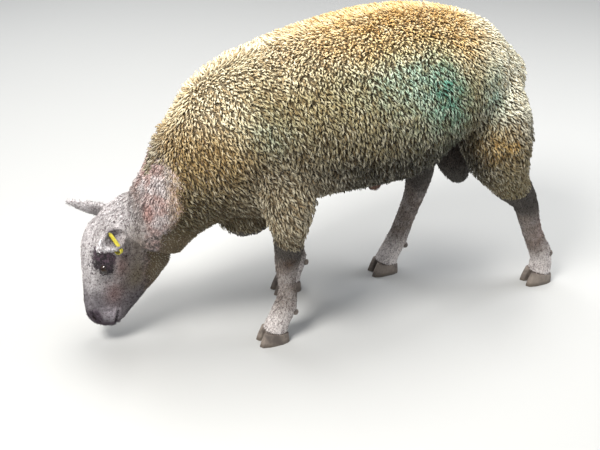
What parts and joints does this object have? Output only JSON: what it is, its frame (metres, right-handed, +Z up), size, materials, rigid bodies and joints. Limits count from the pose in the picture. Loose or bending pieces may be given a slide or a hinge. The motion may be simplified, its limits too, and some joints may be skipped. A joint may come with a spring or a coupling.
{
  "type": "sheep",
  "caption": "Short-woolled ram standing with its neck reaching down to graze, with a docked tail, a bare grey face and legs and a folded tag in the left ear.",
  "frame": {"origin": "centre of the bounding box on the ground, under the belly", "axes": "+Z up, -X towards the head, the animal's left side faces -Y"},
  "size_m": [1.3283, 0.4722, 0.8423],
  "materials": {
    "fleece": "dense short crimped wool in small staples, golden to olive, matt",
    "face_skin": "pinkish grey skin under very short pale hair",
    "leg_hair": "short flat grey-pink hair",
    "dark_skin": "thin dark wrinkled skin with sparse short hair",
    "eye": "wet, glossy, dark amber with a level slit pupil",
    "hoof_horn": "dull grey-brown horn with growth rings",
    "tag_plastic": "plain yellow flexible plastic, blank"
  },
  "bodies": {
    "root": {"trunk": "fleece", "neck": "fleece", "head": "face_skin", "dewclaw_front_left_inner": "hoof_horn", "dewclaw_front_left_outer": "hoof_horn", "dewclaw_front_right_inner": "hoof_horn", "dewclaw_front_right_outer": "hoof_horn", "dewclaw_hind_left_inner": "hoof_horn", "dewclaw_hind_left_outer": "hoof_horn", "dewclaw_hind_right_inner": "hoof_horn", "dewclaw_hind_right_outer": "hoof_horn", "ear_left": "face_skin", "ear_right": "face_skin", "ear_tag_left": "tag_plastic", "eye_left": "eye", "eye_right": "eye", "hoof_front_left_inner": "hoof_horn", "hoof_front_left_outer": "hoof_horn", "hoof_front_right_inner": "hoof_horn", "hoof_front_right_outer": "hoof_horn", "hoof_hind_left_inner": "hoof_horn", "hoof_hind_left_outer": "hoof_horn", "hoof_hind_right_inner": "hoof_horn", "hoof_hind_right_outer": "hoof_horn", "leg_front_left": "leg_hair", "leg_front_right": "leg_hair", "leg_hind_left": "leg_hair", "leg_hind_right": "leg_hair", "scrotum": "dark_skin", "sheath": "dark_skin", "tail": "fleece"}
  },
  "joints": []
}
